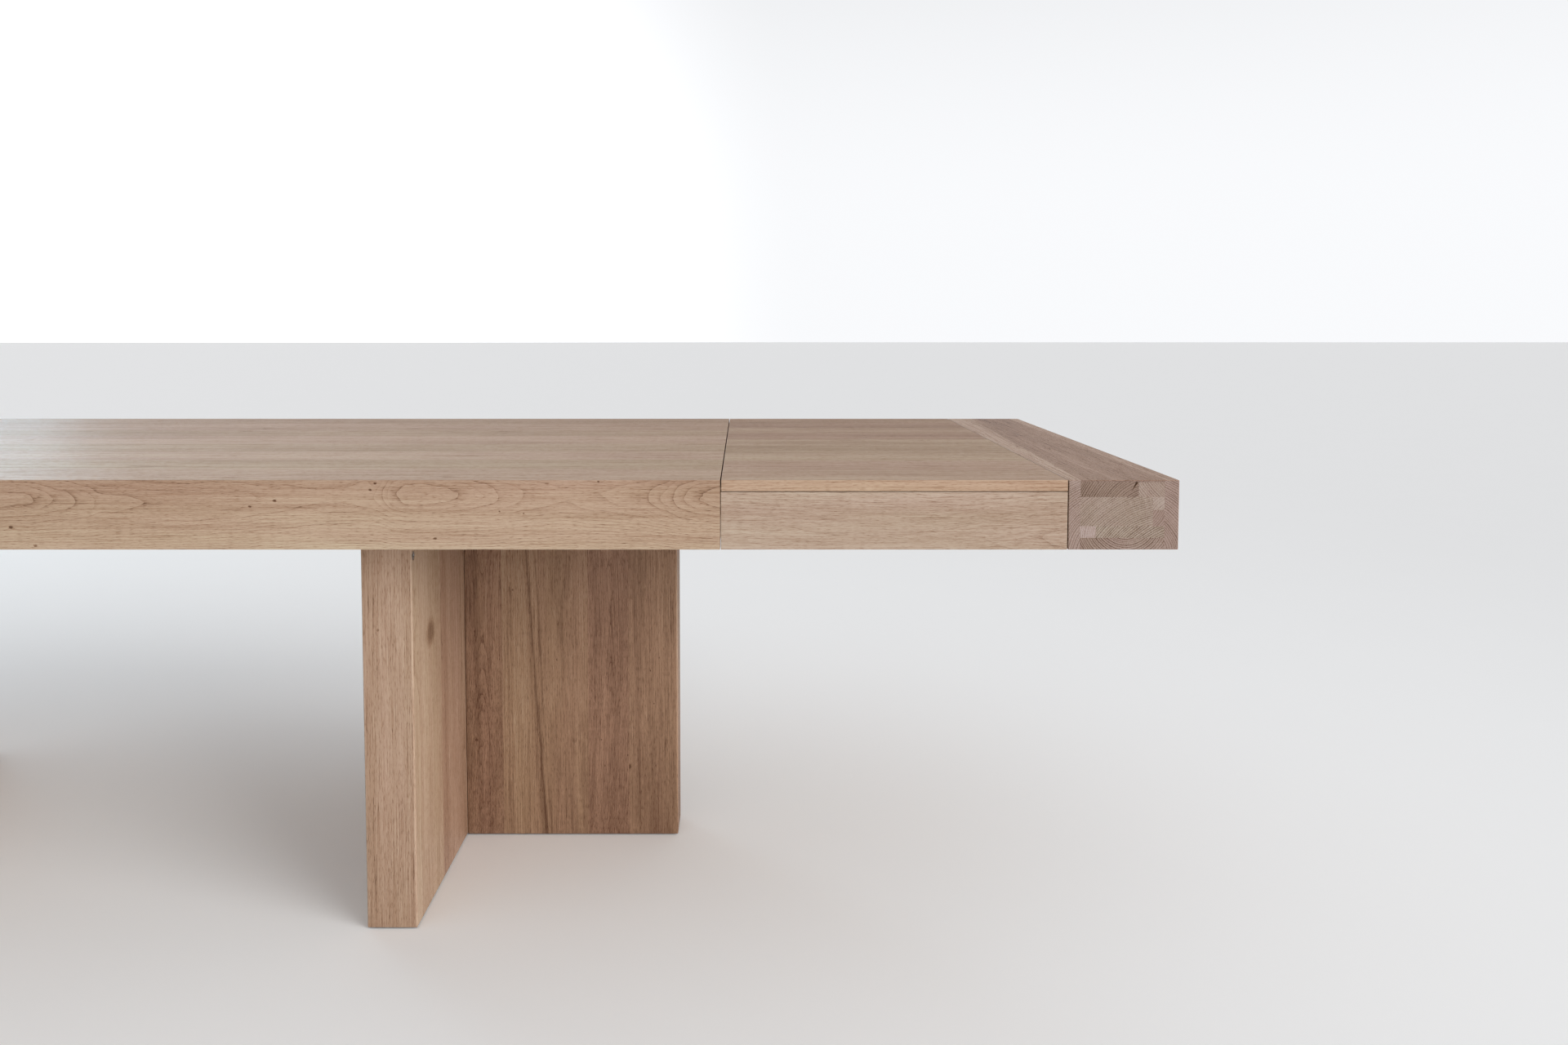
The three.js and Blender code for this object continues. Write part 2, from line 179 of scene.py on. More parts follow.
def build_wood_group():
    """The inside of a log, as a node group.

    Grain is a place in the log: along it, then two distances across from its pith. Fibre is the
    same point's place in the stave sawn from it, whose fibres run along. Tone is how light, how
    warm and how strongly figured the stave is. End is 1 where the wood is cut across.
    """
    tree = bpy.data.node_groups.new("oak_log", "ShaderNodeTree")
    for name in ("Grain", "Fibre", "Tone"):
        tree.interface.new_socket(name, in_out="INPUT", socket_type="NodeSocketVector")
    tree.interface.new_socket("End", in_out="INPUT", socket_type="NodeSocketFloat")
    for name in ("Depth", "Warmth", "Pores", "Height"):
        tree.interface.new_socket(name, in_out="OUTPUT", socket_type="NodeSocketFloat")
    g = Graph(tree)
    given = g.node("NodeGroupInput")
    _, pith_across, pith_deep = g.split(given.outputs["Grain"])
    along, across, deep = g.split(given.outputs["Fibre"])
    light, warm, figure = g.split(given.outputs["Tone"])
    end = given.outputs["End"]

    def stretched(per_metre_along, per_metre_across):
        """A noise's coordinates, from how many waves it has in a metre each way."""
        return g.combine(
            g.mul(along, per_metre_along),
            g.mul(across, per_metre_across),
            g.mul(deep, per_metre_across),
        )

    # Growth rings: the distance from the pith, bent by slow and quick ripples along the grain.
    radius = g.vector("LENGTH", g.combine(0.0, pith_across, pith_deep))
    ripple = g.mul(g.noise(stretched(4, 18)), RIPPLE)
    quiver = g.mul(g.noise(stretched(20, 45)), QUIVER)
    fray = g.mul(g.noise(stretched(50, 160), detail=1.0), FRAY)
    radius = g.add(radius, ripple, quiver, fray)
    uneven = g.noise(g.combine(g.mul(radius, 95), 0.0, 0.0), detail=1.0)
    rings = g.add(g.math("DIVIDE", radius, RING), g.mul(uneven, 1.6))
    phase = g.math("FRACT", rings)
    year = g.node("ShaderNodeTexWhiteNoise", noise_dimensions="1D")
    g.feed(year.inputs["W"], g.math("FLOOR", rings))
    strength = g.add(0.4, g.mul(year.outputs["Value"], 0.6))
    rest = g.math("SUBTRACT", 1.0, phase)
    line = g.mul(g.math("POWER", rest, LINE_SHARPNESS), 0.65)
    band = g.mul(g.math("POWER", rest, BAND_SHARPNESS), 0.4)
    patchy = g.ease(g.noise(stretched(7, 40)), -0.25, 0.25, 0.6, 1.0)
    early = g.mul(g.mul(g.add(line, band), strength), g.mul(patchy, figure))
    more_on_end = g.add(1.0, g.mul(end, 1.3))
    early = g.mul(early, more_on_end)

    # Vessels: short dashes along the grain, thick in the early wood, dots on end grain.
    vessel = g.noise(stretched(95, 1300), detail=1.0, centred=False)
    vessel = g.mul(g.ease(vessel, 0.54, 0.66), g.add(0.55, g.mul(early, 1.3)))
    long_vessel = g.noise(stretched(11, 900), detail=1.5, centred=False)
    long_vessel = g.mul(g.ease(long_vessel, 0.52, 0.68), g.add(0.60, g.mul(early, 1.0)))

    # Fibres, rays and slow changes of colour.
    fibre = g.noise(stretched(3.5, 190), detail=3.0, roughness=0.6)
    fine = g.noise(stretched(7, 700), detail=3.0, roughness=0.7)
    angle = g.math("ARCTAN2", pith_across, pith_deep)
    ray_place = g.combine(g.mul(along, 40), g.mul(angle, 75), g.mul(radius, 16))
    ray = g.ease(g.noise(ray_place, detail=1.0, centred=False), 0.58, 0.74)
    blotch = g.noise(stretched(1.6, 13), detail=2.0)
    strip = g.noise(stretched(1.1, 48), detail=2.0)
    cloud = g.noise(stretched(2.3, 30), detail=1.0)
    less_on_end = g.add(1.0, g.mul(end, -0.75))
    lively = g.add(0.35, g.mul(figure, 0.65))
    streaks = g.mul(g.add(g.mul(fibre, 0.30), g.mul(strip, 0.32)), lively)
    grain = g.mul(g.add(streaks, g.mul(fine, 0.48)), less_on_end)

    depth = g.add(
        MEAN_DEPTH,
        grain,
        g.mul(early, 0.34),
        g.mul(blotch, 0.30),
        g.mul(vessel, 0.29),
        g.mul(long_vessel, 0.22),
        g.mul(ray, -0.06),
        g.mul(light, -0.30),
    )
    out = g.node("NodeGroupOutput")
    g.feed(out.inputs["Depth"], depth)
    g.feed(out.inputs["Warmth"], g.add(0.5, warm, g.mul(cloud, 0.9), g.mul(early, 0.15)))
    g.feed(out.inputs["Pores"], g.add(vessel, g.mul(long_vessel, 0.6)))
    height = g.add(
        g.mul(vessel, -1.0),
        g.mul(long_vessel, -0.5),
        g.mul(early, -0.25),
        g.mul(fine, 0.35),
    )
    g.feed(out.inputs["Height"], height)
    return tree


WOOD_GROUP = build_wood_group()

# Colours from pale to deep, then the tints of the straw-coloured parts, the rosy parts and, where
# it differs, sawn ends.
OAK = {
    "stops": [
        (0.0, linear(194, 177, 156)),
        (0.36, linear(174, 150, 129)),
        (0.60, linear(149, 120, 97)),
        (1.0, linear(86, 57, 38)),
    ],
    "cool": (0.985, 1.0, 0.94),
    "warm": (1.02, 0.965, 0.99),
    "end": (0.87, 0.985, 1.20),
}
BEECH = {
    "stops": [
        (0.0, linear(236, 215, 184)),
        (0.4, linear(219, 192, 158)),
        (0.7, linear(196, 164, 128)),
        (1.0, linear(150, 116, 84)),
    ],
    "cool": (0.98, 1.0, 0.97),
    "warm": (1.03, 0.98, 0.93),
}


def wood_material(
    name,
    roughness,
    relief=0.25 * MM,
    specular=0.35,
    end=0.60,
    arris=0.06,
    cast=None,
    painted_foot_shade=None,
    knots=(),
    streaks=(),
):
    """Oak for pieces that carry their grain, fibre, tone, arris and end_grain as attributes.

    The finish darkens sawn ends by end, and arris lightens arrises, partly as wear and partly as a
    painted highlight; cast is an overall tint.
    Painted shade darkens the lowest part towards the floor, by a pair: how high it reaches and how
    dark it makes the foot.
    Each knot is a centre, its three radii and how dark its heart is. Each streak up an upright
    panel is the X of its foot, how it leans, half its width and how dark it is.
    """
    material, g, shader = new_material(name)
    grain = g.node("ShaderNodeAttribute", attribute_name="grain").outputs["Vector"]
    fibre = g.node("ShaderNodeAttribute", attribute_name="fibre").outputs["Vector"]
    tone = g.node("ShaderNodeAttribute", attribute_name="tone").outputs["Vector"]
    on_arris = g.node("ShaderNodeAttribute", attribute_name="arris").outputs["Fac"]
    on_end = g.node("ShaderNodeAttribute", attribute_name="end_grain").outputs["Fac"]
    place = g.node("ShaderNodeTexCoord").outputs["Object"]

    # Knots: the rings swell around each one, and its heart is dark and ragged.
    heart = 0.0
    for centre, radii, darkness in knots:
        scale = tuple(1 / radius for radius in radii)
        offset = g.vector("MULTIPLY", g.vector("SUBTRACT", place, centre), scale)
        away = g.vector("LENGTH", offset)
        swell = g.mul(g.bell(g.mul(away, 0.4)), 1.3 * min(radii))
        grain = g.vector("ADD", grain, g.combine(0.0, 0.0, swell))
        ragged = g.add(away, g.mul(g.noise(g.vector("MULTIPLY", place, (400, 400, 400))), 0.9))
        heart = g.add(heart, g.ease(ragged, 0.25, 0.95, darkness, 0.0))

    x, _, z = g.split(place)
    for foot, lean, half_width, darkness in streaks:
        waver = g.mul(g.noise(g.combine(foot, 0.0, g.mul(z, 9.0))), 8 * MM)
        aside = g.math("DIVIDE", g.add(x, g.mul(z, -lean), -foot, waver), half_width)
        heart = g.add(heart, g.mul(g.bell(aside), darkness))

    wood = g.node("ShaderNodeGroup")
    wood.node_tree = WOOD_GROUP
    g.feed(wood.inputs["Grain"], grain)
    g.feed(wood.inputs["Fibre"], fibre)
    g.feed(wood.inputs["Tone"], tone)
    g.feed(wood.inputs["End"], on_end)
    # Arrises are lightened: partly wear, partly a painted highlight.
    depth = g.add(wood.outputs["Depth"], heart, g.mul(on_arris, -arris), g.mul(on_end, end))
    # Painted shade: darker towards the floor.
    if painted_foot_shade:
        reach, shade_at_floor = painted_foot_shade
        depth = g.add(depth, g.ease(z, 0.0, reach, shade_at_floor, 0.0))
    colour = g.ramp(depth, OAK["stops"])
    tint = g.mix(wood.outputs["Warmth"], OAK["cool"], OAK["warm"])
    tint = g.mix(on_end, tint, g.mix(1.0, tint, OAK["end"], blend="MULTIPLY"))
    tint = g.mix(1.0, tint, cast, blend="MULTIPLY") if cast else tint
    g.feed(shader.inputs["Base Color"], g.mix(1.0, colour, tint, blend="MULTIPLY"))
    open_pores = g.mul(wood.outputs["Pores"], 0.25)
    rough = g.add(roughness, open_pores, g.mul(on_arris, -0.06), g.mul(on_end, 0.12))
    g.feed(shader.inputs["Roughness"], rough)
    g.bump(shader, g.add(wood.outputs["Height"], g.mul(heart, -2.0)), relief, 0.6)
    shader.inputs["IOR"].default_value = 1.45
    shader.inputs["Specular IOR Level"].default_value = specular
    return material


# --- Geometry helpers -----------------------------------------------------------------------


def box_mesh(lo, hi):
    """A box between its lowest and its highest corner."""
    bm = bmesh.new()
    bmesh.ops.create_cube(bm, size=1.0)
    lo, hi = Vector(lo), Vector(hi)
    for vert in bm.verts:
        vert.co = Vector([lo[i] + (vert.co[i] + 0.5) * (hi[i] - lo[i]) for i in range(3)])
    return bm


def prism_mesh(outline, axis, start, stop):
    """An outline of points across an axis, given in the order X, Y, Z, and drawn out along it."""
    bm = bmesh.new()
    corners = [[[*point[:axis], place, *point[axis:]] for point in outline] for place in (start, stop)]
    ends = [[bm.verts.new(corner) for corner in end] for end in corners]
    bm.faces.new(ends[0])
    bm.faces.new(ends[1][::-1])
    for i in range(len(outline)):
        j = (i + 1) % len(outline)
        bm.faces.new((ends[0][i], ends[1][i], ends[1][j], ends[0][j]))
    bmesh.ops.recalc_face_normals(bm, faces=bm.faces)
    return bm


def slice_mesh(bm, axis, places):
    """Cuts the faces of a mesh, without parting it, at places along an axis."""
    normal = [0, 0, 0]
    normal[axis] = 1
    for place in places:
        at = [0, 0, 0]
        at[axis] = place
        everything = bm.verts[:] + bm.edges[:] + bm.faces[:]
        bmesh.ops.bisect_plane(bm, geom=everything, plane_co=at, plane_no=normal)


SHARP = 0.3  # in radians: the least angle at which two faces meet in an edge that is eased
EASING_FACES = 3  # round each eased edge


def ease_edges(bm, radius, keep=None):
    """Rounds every sharp outer edge, except those that keep() names."""
    sharp = [
        e for e in bm.edges
        if len(e.link_faces) == 2 and e.calc_face_angle() > SHARP and not (keep and keep(e))
    ]
    bevel = {"offset": radius, "segments": EASING_FACES, "profile": 0.5, "affect": "EDGES"}
    bmesh.ops.bevel(bm, geom=sharp, **bevel)


def even_places(lo, hi, step):
    """Where to cut a length into equal parts of about a step each."""
    count = max(1, round((hi - lo) / step))
    return [lo + (hi - lo) * i / count for i in range(1, count)]


def stave_places(lo, hi, width, rng):
    """Where the glued staves of a board meet: about a width apart, no two alike."""
    count = max(1, round((hi - lo) / width))
    shares = [rng.uniform(0.8, 1.2) for _ in range(count)]
    total = sum(shares)
    places, at = [], lo
    for share in shares[:-1]:
        at += (hi - lo) * share / total
        places.append(at)
    return places


class Log:
    """Where a stave was sawn from its log: the pith beside it, and how that wanders."""

    def __init__(self, rng, depth=None, light=None, warm=None, figure=None, wander=0.010):
        self.start = rng.uniform(0, 50)
        self.aside = rng.uniform(-0.03, 0.03)
        self.depth = rng.choice((-1, 1)) * rng.uniform(0.045, 0.11) if depth is None else depth
        self.wander = wander
        self.swap = False  # True turns the log a quarter, so that across and deep trade places
        self.tone = (
            rng.uniform(-0.30, 0.30) if light is None else light,
            rng.uniform(-0.55, 0.55) if warm is None else warm,
            rng.uniform(0.75, 1.15) if figure is None else figure,
        )

    def tone_at(self, point):
        return self.tone

    def fibre(self, along, across, deep):
        """The fibre coordinates of a point: those of its grain, where fibres follow the pith."""
        return self.place(along, across, deep)

    def place(self, along, across, deep):
        """The grain coordinates of a point, given along the stave and across it from its middle."""
        sway = noise.noise((self.start + along * 1.3, 0.0, 3.7)) * 0.5
        rise = noise.noise((self.start + along * 1.9, 9.1, 0.0))
        return (
            along + self.start,
            across + self.aside + sway * self.wander,
            deep + self.depth + rise * self.wander,
        )


TIMBER_STEP = 0.02  # between the slices across the grain, whose corners carry the log's places
SLANTED = 0.985  # a face belongs to an arris if no part of its normal is more than this
ACROSS_GRAIN = 0.9  # a face is end grain if more than this of its normal is along the grain
ALONG_GRAIN = 0.2  # and an arris is a long one if less than this is


def timber(name, bm, grain, log_at, material, step=TIMBER_STEP):
    """Finishes a wooden piece: slices it along its grain and gives its corners their place in a log.

    log_at(centre) returns the Log that the face belongs to, and that log's middle across the grain.
    """
    lo = min(v.co[grain] for v in bm.verts)
    hi = max(v.co[grain] for v in bm.verts)
    slice_mesh(bm, grain, even_places(lo, hi, step))
    bmesh.ops.recalc_face_normals(bm, faces=bm.faces)
    grain_layer = bm.loops.layers.float_vector.new("grain")
    fibre_layer = bm.loops.layers.float_vector.new("fibre")
    tone_layer = bm.loops.layers.float_vector.new("tone")
    arris_layer = bm.loops.layers.float.new("arris")
    end_layer = bm.loops.layers.float.new("end_grain")
    others = [axis for axis in (X, Y, Z) if axis != grain]
    for face in bm.faces:
        log, middle = log_at(face.calc_center_median())
        slanted = max(abs(c) for c in face.normal) < SLANTED
        facing_along = abs(face.normal[grain])
        end = 1.0 if facing_along > ACROSS_GRAIN else 0.0
        arris = 1.0 if slanted and facing_along < ALONG_GRAIN else 0.0
        for loop in face.loops:
            offset = [loop.vert.co[axis] - middle[axis] for axis in others]
            across = offset[::-1] if log.swap else offset
            spot = (loop.vert.co[grain], *across)
            loop[grain_layer] = log.place(*spot)
            loop[fibre_layer] = log.fibre(*spot)
            loop[tone_layer] = log.tone_at(loop.vert.co)
            loop[end_layer] = end
            loop[arris_layer] = arris
        face.smooth = slanted
    mesh = bpy.data.meshes.new(name)
    bm.to_mesh(mesh)
    bm.free()
    mesh.materials.append(material)
    piece = bpy.data.objects.new(name, mesh)
    bpy.context.scene.collection.objects.link(piece)
    return piece


# --- Stage ----------------------------------------------------------------------------------


CAMERA_LENS = 25.86  # in millimetres, for a picture 36 wide
CAMERA_SHIFT = (0.025, -0.0927)
CAMERA_ASIDE = 0.0370  # to the right of the joint between the top and the leaf
CAMERA_AWAY = 1.6714  # in front of the table's front
CAMERA_ABOVE = 0.2457  # over the top
CAMERA_TILT = 3.14  # degrees down


def add_camera():
    """The view from the front, at the joint between the top and the leaf, a little above it."""
    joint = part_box("main_top")[1][X]
    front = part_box("apron_front")[0][Y]
    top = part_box("main_top")[1][Z]
    data = bpy.data.cameras.new("camera")
    data.sensor_width = 36.0
    data.lens = CAMERA_LENS
    data.shift_x, data.shift_y = CAMERA_SHIFT
    data.clip_end = 200.0
    camera = bpy.data.objects.new("camera", data)
    camera.location = (joint + CAMERA_ASIDE, front - CAMERA_AWAY, top + CAMERA_ABOVE)
    camera.rotation_euler = (math.radians(90 - CAMERA_TILT), 0.0, 0.0)
    bpy.context.scene.collection.objects.link(camera)
    bpy.context.scene.camera = camera


def aim_light(data, place, target, strength, colour):
    """Puts a light at a place, facing its target."""
    data.energy = strength
    data.color = colour
    light = bpy.data.objects.new(data.name, data)
    light.location = place
    light.rotation_euler = (Vector(target) - Vector(place)).to_track_quat("-Z", "Y").to_euler()
    bpy.context.scene.collection.objects.link(light)


def add_panel_light(name, place, target, size, spread, watts, colour):
    """A glowing rectangle. Its spread, in degrees, keeps its light off the floor before it."""
    data = bpy.data.lights.new(name, "AREA")
    data.shape = "RECTANGLE"
    data.size, data.size_y = size
    data.spread = math.radians(spread)
    aim_light(data, place, target, watts, colour)


def add_sun(name, place, target, width, strength, colour):
    """Parallel light, soft because it comes from a patch some degrees wide."""
    data = bpy.data.lights.new(name, "SUN")
    data.angle = math.radians(width)
    aim_light(data, place, target, strength, colour)


WARM_WHITE = (1.0, 0.99, 0.97)
SKY_BLUE = (0.58, 0.84, 1.0)
KEY_FROM = (4.9, -3.5, 2.0)  # past the right end, in front
SOFTBOX_FROM = (5.0, -3.6, 2.1)
KEY_AT = (0.4, -0.4, 0.5)  # the front of the table
WINDOW_FROM = (-6.2, 6.8, 1.6)  # behind the left end, to shine back off the top
WINDOW_AT = (-0.6, 0.0, 0.75)
FLOOR_HALF = 40.0


def add_lights():
    add_sun("key_light", KEY_FROM, KEY_AT, width=42, strength=1.95, colour=WARM_WHITE)
    softbox = {"size": (3.6, 2.6), "spread": 80, "watts": 18, "colour": WARM_WHITE}
    window = {"size": (3.0, 2.2), "spread": 60, "watts": 20, "colour": SKY_BLUE}
    add_panel_light("softbox", SOFTBOX_FROM, KEY_AT, **softbox)
    add_panel_light("window", WINDOW_FROM, WINDOW_AT, **window)


def add_floor():
    lo, hi = -FLOOR_HALF, FLOOR_HALF
    mesh = bpy.data.meshes.new("floor")
    mesh.from_pydata([(lo, lo, 0), (hi, lo, 0), (hi, hi, 0), (lo, hi, 0)], [], [(0, 1, 2, 3)])
    floor = bpy.data.objects.new("floor", mesh)
    bpy.context.scene.collection.objects.link(floor)
    material, g, shader = new_material("floor_paper")
    place = g.node("ShaderNodeTexCoord").outputs["Object"]
    cloud = g.add(0.5, g.mul(g.noise(g.vector("MULTIPLY", place, (3, 3, 3))), 0.2))
    g.feed(shader.inputs["Base Color"], g.ramp(cloud, [(0, (0.87,) * 3), (1, (0.91,) * 3)]))
    shader.inputs["Roughness"].default_value = 0.9
    shader.inputs["Specular IOR Level"].default_value = 0.1
    mesh.materials.append(material)


def add_surround():
    """A bright surround under a dimmer ceiling, so that upright faces are lit as well as the top.

    It glows most behind the left end, where the light comes from that the top shines back.
    """
    world = bpy.data.worlds.new("studio")
    world.use_nodes = True
    background = world.node_tree.nodes["Background"]
    background.inputs["Color"].default_value = (0.97, 0.98, 1.0, 1.0)
    sky = Graph(world.node_tree)
    direction = sky.node("ShaderNodeTexCoord").outputs["Generated"]
    height = sky.split(direction)[2]
    ceiling = sky.ease(height, 0.08, 0.75, 0.98, 0.56)
    towards_glow = sky.vector("DOT_PRODUCT", direction, (-0.87, 0.50, 0.0))
    glow = sky.mul(sky.ease(towards_glow, 0.45, 1.0), sky.ease(height, 0.1, 0.7, 1.3, 0.0))
    sky.feed(background.inputs["Strength"], sky.add(ceiling, glow))
    bpy.context.scene.world = world
    bpy.context.scene.view_settings.view_transform = "Standard"


# --- Wooden pieces --------------------------------------------------------------------------

# How far the arrises of each kind of piece are eased.
BEAM_EASE = 1.2 * MM
LEG_EASE = 2.4 * MM
LEAF_EASE = 0.8 * MM
APRON_EASE = 0.6 * MM
TOP_EASE = 0.5 * MM

CLEAR = 1 * MM  # how far a cutter reaches past the face that it cuts


def stand_for(piece, body, node):
    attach(piece, body)
    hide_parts(node)


def staves(rng, lo, hi, axis, across_middle, places, kinds=(), **settings):
    """log_at() for staves side by side along an axis, cut at the given places.

    Each of kinds is a stave's tone, then how far its pith lies aside and behind, and perhaps how
    far that wanders.
    """
    edges = [lo, *places, hi]
    logs = [Log(rng, **settings) for _ in edges[1:]]
    for log, (tone, (aside, depth, *wander)) in zip(logs, kinds):
        log.tone, log.aside, log.depth = tone, aside, depth
        log.wander = wander[0] if wander else log.wander

    def log_at(centre):
        index = sum(centre[axis] > edge for edge in edges[1:-1])
        middle = list(across_middle)
        middle[axis] = (edges[index] + edges[index + 1]) / 2
        return logs[index], middle

    log_at.logs = logs
    return log_at


def one_log(log, middle):
    """log_at() for a piece sawn in one from a log."""
    return lambda _: (log, middle)


def centre_of(lo, hi):
    return [(a + b) / 2 for a, b in zip(lo, hi)]


def staved_board(
    name, lo, hi, grain, split, material, ease, places=None, width=1.0, swap=False, **settings
):
    """A box of staves glued side by side along the split axis.

    They meet at the places, or else they are about a width wide each.
    """
    rng = random.Random(name)
    bm = box_mesh(lo, hi)
    if places is None:
        places = stave_places(lo[split], hi[split], width, rng)
    slice_mesh(bm, split, places)
    ease_edges(bm, ease)
    log_at = staves(rng, lo[split], hi[split], split, centre_of(lo, hi), places, **settings)
    for log in log_at.logs:
        log.swap = swap
    return timber(name, bm, grain, log_at, material)


# The staves of the main top from the front to the back: light, warm.
TOP_TONES = [
    (0.22, 0.2), (0.02, -0.4), (0.20, 0.3), (-0.10, -0.3),
    (0.06, 0.4), (-0.24, -0.2), (-0.16, 0.3), (-0.42, 0.0),
]
TOP_FIGURE = 0.9
LEAF_FIGURE = 0.7


def flat_kinds(rng, tones, figure):
    """The kinds of the staves of a flat board, each sawn some way from its pith."""
    return [((*tone, figure), (rng.uniform(-0.06, 0.06), rng.uniform(0.04, 0.10))) for tone in tones]


def add_top(material):
    """The fixed top's board, whose long edges are mitred to the aprons."""
    lo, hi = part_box("main_top")
    rng = random.Random("top staves")
    slope = hi[Z] - lo[Z]
    outline = [(lo[Y], hi[Z]), (lo[Y] + slope, lo[Z]), (hi[Y] - slope, lo[Z]), (hi[Y], hi[Z])]
    bm = prism_mesh(outline, X, lo[X], hi[X])
    places = stave_places(lo[Y], hi[Y], (hi[Y] - lo[Y]) / len(TOP_TONES), rng)
    slice_mesh(bm, Y, places)
    mitre = max(abs(lo[Y]), abs(hi[Y])) - CLEAR

    def underneath(edge):
        return all(abs(v.co.y) < mitre and v.co.z < lo[Z] + CLEAR for v in edge.verts)

    ease_edges(bm, TOP_EASE, keep=underneath)
    kinds = flat_kinds(rng, TOP_TONES, TOP_FIGURE)
    log_at = staves(rng, lo[Y], hi[Y], Y, centre_of(lo, hi), places, kinds)
    stand_for(timber("top_board", bm, X, log_at, material), "frame", "main_top")


class Figure(Log):
    """The flat-sawn board of the front apron, its figure drawn from the listed points.

    Each point gives a distance along the board from its right end, how far the pith lies behind
    the face there, and how far the middle of the figure lies below the top.
    """

    points = [
        (2.270, 0.066, 0.070), (1.975, 0.058, 0.060), (1.725, 0.047, 0.055), (1.495, 0.060, 0.048),
        (1.275, 0.056, 0.040), (1.115, 0.0455, 0.032), (1.040, 0.0462, 0.029), (0.982, 0.0507, 0.030),
        (0.951, 0.0538, 0.032), (0.923, 0.0569, 0.033), (0.805, 0.0592, 0.033), (0.719, 0.0602, 0.030),
        (0.675, 0.0625, 0.028), (0.605, 0.0645, 0.025), (0.560, 0.0640, 0.023), (0.520, 0.0615, 0.021),
        (0.508, 0.0593, 0.020), (0.498, 0.0562, 0.020), (0.489, 0.0531, 0.020), (0.470, 0.0505, 0.020),
        (0.445, 0.0500, 0.020), (0.420, 0.0512, 0.021), (0.391, 0.0531, 0.021), (0.351, 0.0562, 0.022),
        (0.323, 0.0593, 0.023), (0.285, 0.0625, 0.024), (0.232, 0.0645, 0.024), (0.188, 0.0614, 0.024),
        (0.114, 0.0583, 0.024), (0.085, 0.0552, 0.025), (0.068, 0.0521, 0.025), (0.056, 0.0490, 0.025),
        (0.023, 0.0459, 0.025), (0.0, 0.044, 0.025),
    ]

    def __init__(self, end, front, top, height):
        super().__init__(random.Random("front apron"), light=-0.12, warm=0.05, figure=0.85)
        self.end, self.front, self.top, self.height = end, front, top, height
        self.paler, self.yellower = 0.34, -0.35
        self.middle, self.fading, self.darker = 0.55, 0.65, 0.22
        self.streak_place, self.streak_reach, self.streak = 0.62, 0.12, 0.25

    def tone_at(self, point):
        """Paler below, away from the pith, most of all along one streak, and darker to the left."""
        down = (self.top - point.z) / self.height
        away = self.end - point.x
        left = min(1.0, max(0.0, (away - self.middle) / self.fading))
        streak = math.exp(-(((away - self.streak_place) / self.streak_reach) ** 2))
        light, warm, figure = self.tone
        light += down * (self.paler + streak * self.streak) - left * self.darker
        return light, warm + down * self.yellower, figure

    def at(self, x):
        """The pith's distance and the figure's middle at one place along the board."""
        away = self.end - x
        points = sorted(self.points)
        for (a, depth_a, drop_a), (b, depth_b, drop_b) in zip(points, points[1:]):
            if away <= b:
                break
        share = min(1.0, max(0.0, (away - a) / (b - a)))
        share = share * share * (3 - 2 * share)
        return depth_a + share * (depth_b - depth_a), drop_a + share * (drop_b - drop_a)

    def place(self, along, across, deep):
        depth, drop = self.at(along)
        return along, across - (self.top - drop), depth - (deep - self.front)

    def fibre(self, along, across, deep):
        return along, across - self.top, deep - self.front


# Pin knots in the front apron: distance from its right end, distance below the top, and radius in
# millimetres.
PIN_KNOTS = [
    (0.5155, 0.005, 2.2), (0.523, 0.015, 2.0), (0.427, 0.088, 2.6), (0.330, 0.047, 1.3),
    (0.294, 0.050, 1.3), (0.182, 0.002, 1.8), (0.7035, 0.040, 2.2), (0.666, 0.031, 2.4),
    (1.062, 0.071, 3.2), (1.026, 0.099, 2.8), (1.41, 0.058, 2.4), (1.88, 0.083, 3.0),
]
PIN_KNOT_STRETCH = 1.6  # how much longer than high they are
PIN_KNOT_DARKNESS = 0.55


def apron_knots():
    lo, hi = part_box("apron_front")
    found = []
    for away, down, radius in PIN_KNOTS:
        radii = (PIN_KNOT_STRETCH * radius * MM, radius * MM, radius * MM)
        found.append(((hi[X] - away, lo[Y], hi[Z] - down), radii, PIN_KNOT_DARKNESS))
    return found


APRON_STEP = 0.01  # between the slices that carry the aprons' figure
LIP_EXTRA = 0.3 * MM  # how much thicker the lip is than the top


def add_aprons(materials):
    """The boards under the top's long edges, each with a mitred lip that meets the top."""
    top_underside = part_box("main_top")[0][Z]
    for side, sign in (("front", -1), ("back", 1)):
        node = f"apron_{side}"
        lo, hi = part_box(node)
        outer, inner = (lo[Y], hi[Y]) if side == "front" else (hi[Y], lo[Y])
        lip = hi[Z] - top_underside + LIP_EXTRA
        outline = [
            (outer, lo[Z]),
            (outer, hi[Z]),
            (outer - sign * lip, hi[Z] - lip),
            (inner, hi[Z] - lip),
            (inner, lo[Z]),
        ]
        bm = prism_mesh(outline, X, lo[X], hi[X])
        ease_edges(bm, APRON_EASE)
        if side == "front":
            log, middle = Figure(hi[X], outer, hi[Z], hi[Z] - lo[Z]), [0, 0, 0]
        else:
            log, middle = Log(random.Random(node), depth=0.06, figure=1.1), centre_of(lo, hi)
        log.swap = True
        piece = timber(f"{side}_apron", bm, X, one_log(log, middle), materials[side], APRON_STEP)
        stand_for(piece, "frame", node)


